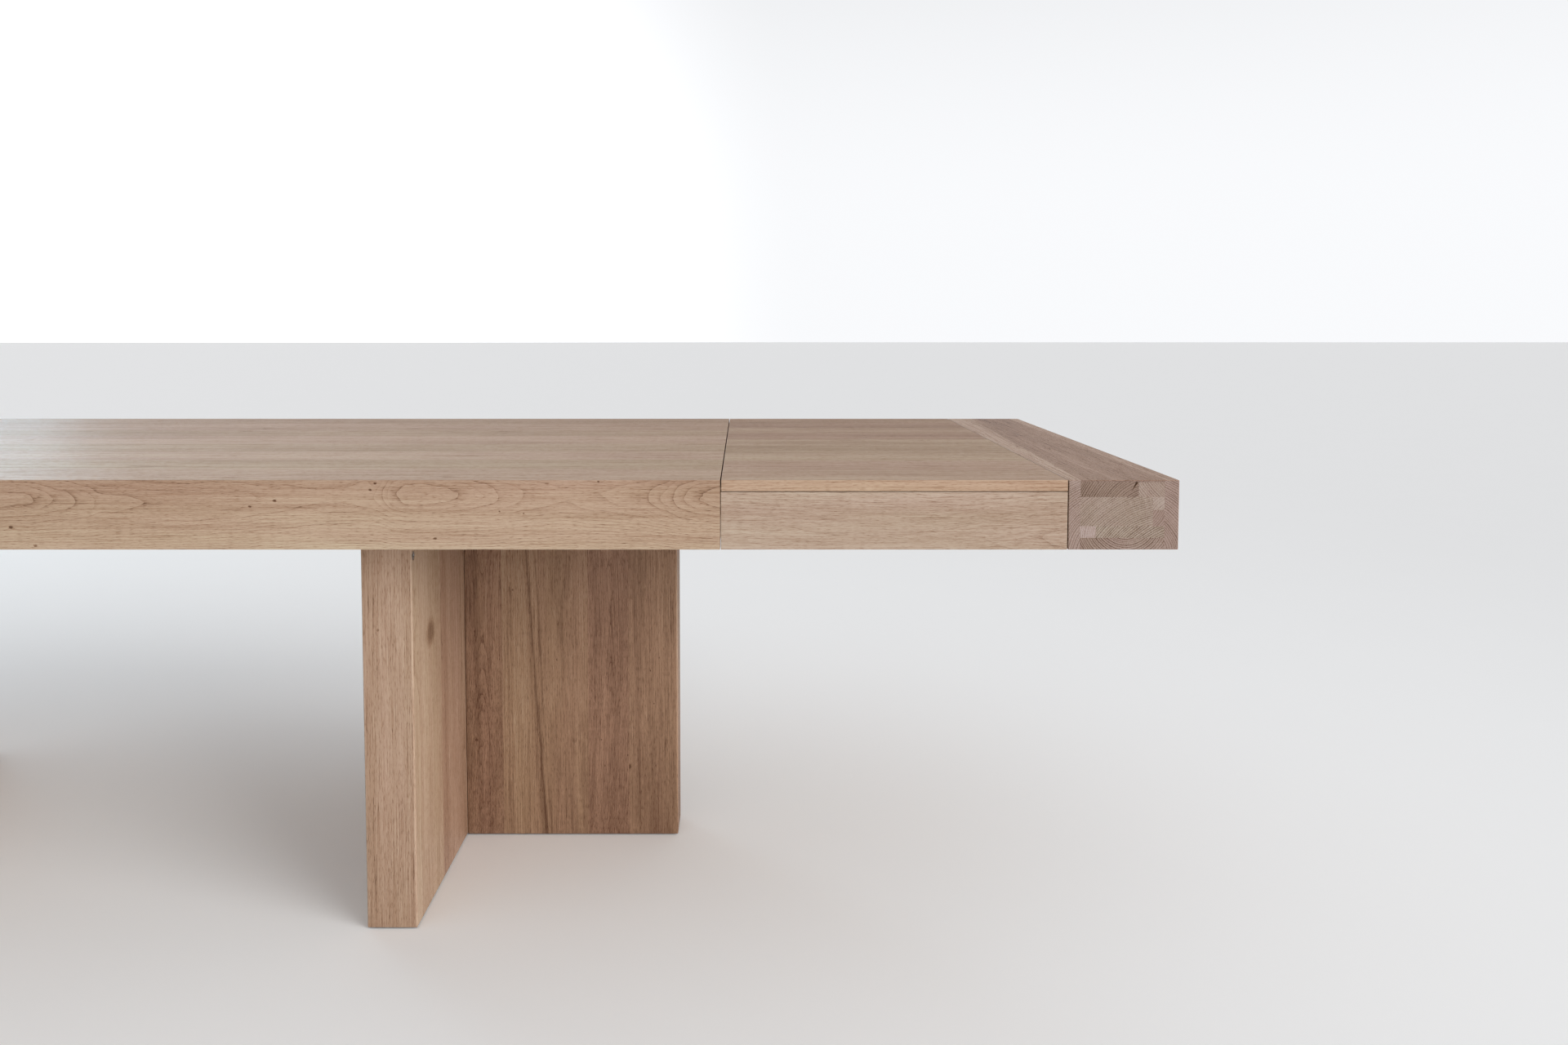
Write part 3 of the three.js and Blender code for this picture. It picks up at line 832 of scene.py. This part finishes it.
# The staves of the right leg: where each ends, from the panel's front or its inner end, its tone
# (light, warm, figure), how far its pith lies aside of it and behind it, and in two of them how far
# that wanders. The crosswise panel's first one is only its front face.
CROSS_STAVES = [
    (0.0027, (-0.27, 0.10, 0.6), (0.07, 0.05)),
    (0.166, (0.02, -0.1, 0.6), (0.07, 0.05)),
    (0.290, (-0.40, 0.5, 0.7), (0.08, 0.03)),
    (0.372, (-0.45, 0.3, 0.9), (0.01, 0.07)),
    (0.465, (-0.1, 0.2, 0.9), (-0.02, 0.08)),
    (0.560, (0.1, -0.3, 0.8), (0.09, 0.02)),
    (0.668, (-0.2, 0.4, 1.0), (0.0, 0.06)),
    (0.752, (0.0, 0.1, 0.8), (0.03, 0.07)),
]
# The lengthwise panel's deep tones are partly its own darker wood and partly painted shade, for its
# place under the top.
LONG_STAVES = [
    (0.071, (-0.90, 0.3, 0.8), (0.012, 0.05, 0.05)),
    (0.140, (-0.36, -0.3, 0.7), (-0.09, 0.02)),
    (0.2356, (-0.78, -0.1, 0.6), (0.09, 0.03)),
    (0.3140, (-0.93, 0.8, 0.75), (0.004, 0.052, 0.06)),
    (0.4077, (-0.90, 0.0, 0.7), (-0.05, 0.05)),
]
CAM_ROOM = 0.7 * MM  # between a cam and the hole that it sits in
CAM_SINK = 1.7 * MM  # how far the hole's middle is out from the cam's
CAM_HOLE_EXTRA = 4 * MM  # how much longer the cutter is than the cam


def cam_holes(end, outward):
    """Cutters for the holes that show a leg's cam fittings."""
    cutters = []
    for side in ("front", "back"):
        lo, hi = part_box(f"cam_{end}_{side}")
        x, y, z = centre_of(lo, hi)
        radius = (hi[Z] - lo[Z]) / 2 + CAM_ROOM
        cutters.append(rod(radius, hi[X] - lo[X] + CAM_HOLE_EXTRA, (x + outward * CAM_SINK, y, z)))
    return cutters


def add_legs(cross_material, long_material):
    for end, outward in (("left", -1), ("right", 1)):
        lo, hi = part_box(f"leg_cross_{end}")
        places = [lo[Y] + reach for reach, _, _ in CROSS_STAVES[:-1]]
        kinds = [kind for _, *kind in CROSS_STAVES]
        name = f"{end}_leg_cross_panel"
        board = (name, lo, hi, Z, Y, cross_material, LEG_EASE, places)
        piece = staved_board(*board, swap=True, kinds=kinds)
        carve(piece, cam_holes(end, outward))
        stand_for(piece, "frame", f"leg_cross_{end}")

        lo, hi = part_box(f"leg_long_{end}")
        places = [lo[X] + reach for reach, _, _ in LONG_STAVES[:-1]]
        kinds = [kind for _, *kind in LONG_STAVES]
        if end == "left":
            places = [lo[X] + hi[X] - place for place in reversed(places)]
            kinds = kinds[::-1]
        name = f"{end}_leg_long_panel"
        piece = staved_board(name, lo, hi, Z, X, long_material, LEG_EASE, places, kinds=kinds)
        stand_for(piece, "frame", f"leg_long_{end}")


# Knots in the right leg, in millimetres and how dark each is. On the lengthwise panel's front they
# are placed from the inner corner and the floor; on the crosswise panel's front and outer side from
# its front left and front right edge and the floor. Then come half the width and half the height.
LONG_KNOTS = [
    (20.2, 188.6, 4.0, 5.0), (260.8, 188.6, 1.8, 2.6), (311.3, 158.0, 1.6, 3.0),
    (315.3, 136.2, 3.0, 7.0), (267.1, 137.1, 1.6, 3.4), (155.1, 16.5, 1.5, 3.0),
    (18.9, 400.3, 2.2, 3.5), (92.6, 481.0, 2.8, 3.4), (175.9, 345.3, 1.8, 3.4),
    (355.6, 323.6, 1.5, 2.4), (372.5, 349.3, 1.6, 2.6), (362.2, 259.4, 1.4, 2.4),
]
LONG_KNOT_DARKNESS = 0.35
CROSS_FRONT_KNOTS = [(25.8, 497.4, 3.0, 4.0, 0.30)]
CROSS_SIDE_KNOTS = [(102.3, 466, 36.0, 34.0, 0.36), (24.0, 452, 3.0, 4.5, 0.25)]
KNOT_REACH = 12 * MM  # how deep a knot goes into the wood


def leg_knots():
    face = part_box("leg_long_right")[0][Y]
    lo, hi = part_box("leg_cross_right")
    found = []
    for across, height, wide, tall in LONG_KNOTS:
        centre = (hi[X] + across * MM, face, height * MM)
        found.append((centre, (wide * MM, KNOT_REACH, tall * MM), LONG_KNOT_DARKNESS))
    for across, height, wide, tall, darkness in CROSS_FRONT_KNOTS:
        centre = (lo[X] + across * MM, lo[Y], height * MM)
        found.append((centre, (wide * MM, KNOT_REACH, tall * MM), darkness))
    for across, height, wide, tall, darkness in CROSS_SIDE_KNOTS:
        centre = (hi[X], lo[Y] + across * MM, height * MM)
        found.append((centre, (KNOT_REACH, wide * MM, tall * MM), darkness))
    return found


# Dark streaks up the right leg's lengthwise panel: how far its foot is from the inner corner in
# millimetres, how much it leans for each unit up, half its width, and how dark it is.
LONG_STREAKS = [
    (155.0, -0.066, 2.2, 0.20), (149.0, -0.060, 7.0, 0.10), (163.0, -0.052, 2.0, 0.12),
    (84.0, -0.004, 1.8, 0.10), (91.0, -0.006, 1.6, 0.10), (28.0, -0.018, 5.0, 0.10),
    (42.0, 0.01, 3.0, 0.07),
]


def leg_streaks():
    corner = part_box("leg_cross_right")[1][X]
    found = []
    for foot, lean, half_width, darkness in LONG_STREAKS:
        found.append((corner + foot * MM, lean, half_width * MM, darkness))
    return found


def rod(radius, length, centre, sides=32):
    """A round rod along X."""
    bm = bmesh.new()
    ends = {"radius1": radius, "radius2": radius, "depth": length}
    bmesh.ops.create_cone(bm, cap_ends=True, segments=sides, **ends)
    for vert in bm.verts:
        x, y, z = vert.co
        vert.co = Vector((z, x, y)) + Vector(centre)
    return bm


def carve(piece, cutters):
    """Cuts the given bmeshes out of a finished piece."""
    for bm in cutters:
        mesh = bpy.data.meshes.new("cutter")
        bm.to_mesh(mesh)
        bm.free()
        cutter = bpy.data.objects.new("cutter", mesh)
        bpy.context.scene.collection.objects.link(cutter)
        modifier = piece.modifiers.new("cut", "BOOLEAN")
        modifier.object = cutter
        modifier.solver = "EXACT"
        bpy.context.view_layer.update()
        evaluated = piece.evaluated_get(bpy.context.evaluated_depsgraph_get())
        cut = bpy.data.meshes.new_from_object(evaluated)
        piece.modifiers.clear()
        old = piece.data
        piece.data = cut
        bpy.data.meshes.remove(old)
        bpy.data.objects.remove(cutter)
        bpy.data.meshes.remove(mesh)


# The end beam as glued up, seen from its end and in millimetres: each block's span from the inner
# face and from the top, where its pith lies from its middle, and its tone (light, warm, figure).
BEAM_WIDTH, BEAM_DEPTH = 165, 105
INNER, OUTER = 17.5, 143.5  # the ends of the core, between the inner and the outer block
INNER_BLOCK, CAP = 0, 2  # where the list has the inner block and the thin one on the top
BEAM_BLOCKS = [
    ((0, INNER), (0, BEAM_DEPTH), (-55, 60), (-0.05, 0.3, 1.2)),
    ((OUTER, BEAM_WIDTH), (0, BEAM_DEPTH), (60, 65), (-0.18, 1.2, 1.1)),
    ((INNER, OUTER), (0, 3), (6, -40), (-0.66, 0.5, 0.7)),
    ((INNER, 104.5), (3, 25.5), (-60, 50), (-0.46, 0.0, 1.6)),
    ((104.5, OUTER), (3, 25.5), (-70, -60), (-0.22, 0.0, 0.9)),
    ((INNER, 126), (25.5, 69.5), (-90, 140), (-0.04, -0.2, 1.1)),
    ((126, OUTER), (25.5, 45), (-40, 40), (0.12, 0.0, 0.8)),
    ((126, OUTER), (45, 69.5), (60, -50), (-0.42, 0.9, 0.9)),
    ((INNER, 41), (69.5, 87), (-90, 20), (0.30, 0.9, 0.8)),
    ((41, OUTER), (69.5, 87), (-110, 130), (0.0, -0.5, 1.8)),
    ((INNER, OUTER), (87, BEAM_DEPTH), (-5, -38), (-0.20, 0.2, 1.5)),
]
WEDGE = (INNER, 54)  # how wide the pale strip on the beam's top is at the front and at the back
CRACK = [(104.2, 3.0), (99.8, 3.0), (93.2, 17.8)]  # in its front end, from inner face and top
CRACK_REACH = 6 * MM
SKIN = 0.1  # in millimetres: what lies less than this under the top is its surface
ROUNDING = 0.01  # in millimetres: how far outside its block a face's middle may be computed


def add_beam(end, material):
    node = f"{end}_end_beam"
    lo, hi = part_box(node)
    outward, inner = (1, lo[X]) if end == "right" else (-1, hi[X])
    bm = box_mesh(lo, hi)
    x_marks = {mark for span, _, _, _ in BEAM_BLOCKS for mark in span} - {0, BEAM_WIDTH}
    z_marks = {mark for _, span, _, _ in BEAM_BLOCKS for mark in span} - {0, BEAM_DEPTH}
    slice_mesh(bm, X, [inner + outward * mark * MM for mark in sorted(x_marks)])
    slice_mesh(bm, Z, [hi[Z] - mark * MM for mark in sorted(z_marks)])
    near, far = (inner + outward * mark * MM for mark in WEDGE)
    slope = (far - near) / (hi[Y] - lo[Y])
    upper = [face for face in bm.faces if face.calc_center_median().z > hi[Z] - SKIN * MM]
    geometry = list({part for face in upper for part in (face, *face.edges, *face.verts)})
    bmesh.ops.bisect_plane(bm, geom=geometry, plane_co=(near, lo[Y], 0), plane_no=(1, -slope, 0))
    ease_edges(bm, BEAM_EASE)
    rng = random.Random(node)
    blocks = []
    for (x0, x1), (z0, z1), (aside, depth), (light, warm, figure) in BEAM_BLOCKS:
        log = Log(rng, depth=depth * MM, light=light, warm=warm, figure=figure)
        log.aside = aside * MM
        middle = [inner + outward * (x0 + x1) / 2 * MM, 0, hi[Z] - (z0 + z1) / 2 * MM]
        blocks.append(((x0, x1), (z0, z1), log, middle))

    def log_at(centre):
        across = (centre[X] - inner) * outward / MM
        down = (hi[Z] - centre[Z]) / MM
        if down < SKIN and across < OUTER:
            pale = (centre[X] - near - slope * (centre[Y] - lo[Y])) * outward < 0
            return blocks[INNER_BLOCK if pale else CAP][2:]
        for (x0, x1), (z0, z1), log, middle in blocks:
            if x0 - ROUNDING <= across <= x1 + ROUNDING and z0 - ROUNDING <= down <= z1 + ROUNDING:
                return log, middle
        return blocks[-1][2:]

    piece = timber(f"{end}_beam", bm, Y, log_at, material)
    outline = [(inner + outward * x * MM, hi[Z] - z * MM) for x, z in CRACK]
    carve(piece, [prism_mesh(outline, Y, lo[Y] - CLEAR, lo[Y] + CRACK_REACH)])
    stand_for(piece, f"{end}_end", node)


CHIP = (0.160, 0.198, 1.3 * MM)  # in the front skirt's top edge: from, to, and how deep
CHIP_REACH = 3 * MM
HINGE_ROOM = 0.4 * MM  # round a hinge in the pocket cut for it
SKIRT_REACH = 0.5 * MM  # how far a skirt comes closer to the apron than its CAD solid
SKIRT_STAVE = 0.2  # wider than a skirt is high, so each skirt is one stave
SKIRT_LOG = {"depth": 0.13, "light": 0.05, "warm": 0.1, "figure": 0.5}

# The leaf's staves from the front to the back: light, warm.
LEAF_TONES = [
    (0.08, 0.2), (-0.10, 0.4), (0.06, -0.2), (-0.40, -0.4), (-0.20, -0.2), (-0.52, 0.5), (-0.26, 0.0),
    (-0.60, 0.4), (-0.50, 0.1),
]


def add_right_leaf(top_material, skirt_material):
    lo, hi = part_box("right_leaf_board")
    pitch = (hi[Y] - lo[Y]) / len(LEAF_TONES)
    places = [lo[Y] + pitch * (index + 1) for index in range(len(LEAF_TONES) - 1)]
    kinds = flat_kinds(random.Random("leaf staves"), LEAF_TONES, LEAF_FIGURE)
    board = staved_board("leaf_board", lo, hi, X, Y, top_material, LEAF_EASE, places, kinds=kinds)
    pockets = []
    for side in ("front", "back"):
        low, high = hinge_pocket(f"right_leaf_hinge_upper_{side}")
        low[Z] = lo[Z] - CLEAR
        pockets.append(box_mesh(low, high))
    carve(board, pockets)
    stand_for(board, "right_leaf", "right_leaf_board")
    for side in ("front", "back"):
        add_skirt(side, skirt_material)


def hinge_pocket(node):
    """The lowest and highest corner of the room round a hinge."""
    lo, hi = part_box(node)
    return [v - HINGE_ROOM for v in lo], [v + HINGE_ROOM for v in hi]


def add_skirt(side, material):
    node = f"right_leaf_skirt_{side}"
    name = f"leaf_skirt_{side}"
    lo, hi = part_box(node)
    lo = (lo[X] - SKIRT_REACH, lo[Y], lo[Z])
    board = (name, lo, hi, X, Z, material, LEAF_EASE)
    skirt = staved_board(*board, width=SKIRT_STAVE, swap=True, **SKIRT_LOG)
    cutters = [box_mesh(*hinge_pocket(f"right_leaf_hinge_lower_{side}"))]
    if side == "front":
        start, stop, depth = CHIP
        outline = [(lo[X] + start, hi[Z] + CLEAR), (lo[X] + stop, hi[Z] + CLEAR)]
        outline.append((lo[X] + (start + stop) / 2, hi[Z] - depth))
        cutters.append(prism_mesh(outline, Y, lo[Y] - CLEAR, lo[Y] + CHIP_REACH))
    carve(skirt, cutters)
    stand_for(skirt, f"right_skirt_{side}", node)


# --- Carried-over CAD nodes -----------------------------------------------------------------


# Where the pith lies of the one log that the inner pieces are placed in.
PITH_ASIDE = 0.031
PITH_HEIGHT = 0.60  # below them all


def plain_wood(name, along, across, palette):
    """A wood for CAD pieces with level grain, placed in one log by their own coordinates."""
    material, g, shader = new_material(name)
    parts = g.split(g.node("ShaderNodeTexCoord").outputs["Object"])
    aside = g.add(parts[across], PITH_ASIDE)
    place = g.combine(parts[along], aside, g.add(parts[Z], -PITH_HEIGHT))
    wood = g.node("ShaderNodeGroup")
    wood.node_tree = WOOD_GROUP
    g.feed(wood.inputs["Grain"], place)
    g.feed(wood.inputs["Fibre"], place)
    wood.inputs["Tone"].default_value = (0.05, 0.0, 0.8)
    colour = g.ramp(wood.outputs["Depth"], palette["stops"])
    tint = g.mix(wood.outputs["Warmth"], palette["cool"], palette["warm"])
    g.feed(shader.inputs["Base Color"], g.mix(1.0, colour, tint, blend="MULTIPLY"))
    g.feed(shader.inputs["Roughness"], g.add(0.6, g.mul(wood.outputs["Pores"], 0.2)))
    g.bump(shader, wood.outputs["Height"], 0.2 * MM, 0.5)
    return material


def steel_material():
    material, g, shader = new_material("zinc_plate")
    place = g.node("ShaderNodeTexCoord").outputs["Object"]
    brush = g.noise(g.vector("MULTIPLY", place, (300, 2500, 2500)), detail=2.0)
    cloud = g.noise(g.vector("MULTIPLY", place, (60, 60, 60)))
    shade = g.add(0.5, g.mul(brush, 0.5), g.mul(cloud, 0.5))
    greys = [(0.2, (0.42, 0.43, 0.44)), (0.8, (0.66, 0.66, 0.65))]
    g.feed(shader.inputs["Base Color"], g.ramp(shade, greys))
    g.feed(shader.inputs["Roughness"], g.add(0.34, g.mul(cloud, 0.2)))
    shader.inputs["Metallic"].default_value = 1.0
    return material


def felt_material():
    material, g, shader = new_material("felt")
    place = g.node("ShaderNodeTexCoord").outputs["Object"]
    fuzz = g.noise(g.vector("MULTIPLY", place, (900, 900, 900)), detail=3.0)
    browns = [(0.2, (0.035, 0.03, 0.026)), (0.8, (0.10, 0.088, 0.078))]
    g.feed(shader.inputs["Base Color"], g.ramp(g.add(0.5, fuzz), browns))
    shader.inputs["Roughness"].default_value = 0.95
    shader.inputs["Sheen Weight"].default_value = 0.4
    g.bump(shader, fuzz, 0.3 * MM)
    return material


STORED_LEAF = ("left_leaf_board", "left_leaf_skirt_front", "left_leaf_skirt_back")
STEEL_EASE = 0.2 * MM
FELT_EASE = 0.4 * MM
RAIL_EASE = 1.0 * MM
WELD = 0.01 * MM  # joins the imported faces, which share no corners, so that their edges can be eased


def dress_cad_nodes():
    """Gives every CAD piece that stays its material, and eases its edges."""
    beech_x = plain_wood("beech_x", X, Y, BEECH)
    beech_y = plain_wood("beech_y", Y, X, BEECH)
    stored_oak = plain_wood("stored_oak_y", Y, X, OAK)
    steel = steel_material()
    felt = felt_material()
    for name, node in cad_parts.items():
        if node.hide_render:
            continue
        lo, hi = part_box(name)
        if "hinge" in name or name.startswith("cam"):
            material, width = steel, STEEL_EASE
        elif name.startswith("glide"):
            material, width = felt, FELT_EASE
        elif name in STORED_LEAF:
            material, width = stored_oak, LEAF_EASE
        elif hi[X] - lo[X] > hi[Y] - lo[Y]:
            material, width = beech_x, RAIL_EASE
        else:
            material, width = beech_y, RAIL_EASE
        node.data.materials.clear()
        node.data.materials.append(material)
        weld = node.modifiers.new("joined", "WELD")
        weld.merge_threshold = WELD
        bevel = node.modifiers.new("eased", "BEVEL")
        bevel.width = width
        bevel.segments = 2
        bevel.limit_method = "ANGLE"
        bevel.angle_limit = math.radians(40)


# --- Putting it together --------------------------------------------------------------------


# Painted shade on the legs, darker towards the floor: how high it reaches, and how dark it is at the
# floor.
PAINTED_FOOT_SHADE = (0.30, 0.10)  # how far up the legs are darkened, and by how much at the floor
HALF_PAINTED_FOOT_SHADE = (PAINTED_FOOT_SHADE[0], PAINTED_FOOT_SHADE[1] / 2)

oak = wood_material("oak", 0.50)
beam_oak = wood_material("beam_oak", 0.50, end=0.05)
skirt_oak = wood_material("skirt_oak", 0.50, cast=(0.95, 1.01, 1.07))
# The legs' arrises are lightened most: partly wear, partly a painted highlight along their edges.
leg_oak = wood_material("leg_oak", 0.46, arris=0.17, painted_foot_shade=HALF_PAINTED_FOOT_SHADE, knots=leg_knots())
panel_oak = wood_material(
    "panel_oak",
    0.46,
    # lightened arrises: partly wear, partly a painted highlight
    arris=0.12,
    # browner cast: partly the wood's own colour, partly painted shade, warm as under the top
    cast=(1.01, 0.975, 0.945),
    painted_foot_shade=PAINTED_FOOT_SHADE,
    knots=leg_knots(),
    streaks=leg_streaks(),
)
apron_oak = wood_material("figured_oak", 0.50, knots=apron_knots())
top_oak = wood_material("top_oak", 0.46, relief=0.2 * MM, specular=0.13, cast=(1.0, 0.995, 0.965))

add_top(top_oak)
add_aprons({"front": apron_oak, "back": oak})
add_legs(leg_oak, panel_oak)
add_beam("left", beam_oak)
add_beam("right", beam_oak)
add_right_leaf(top_oak, skirt_oak)
dress_cad_nodes()
add_floor()
add_surround()
add_lights()
add_camera()
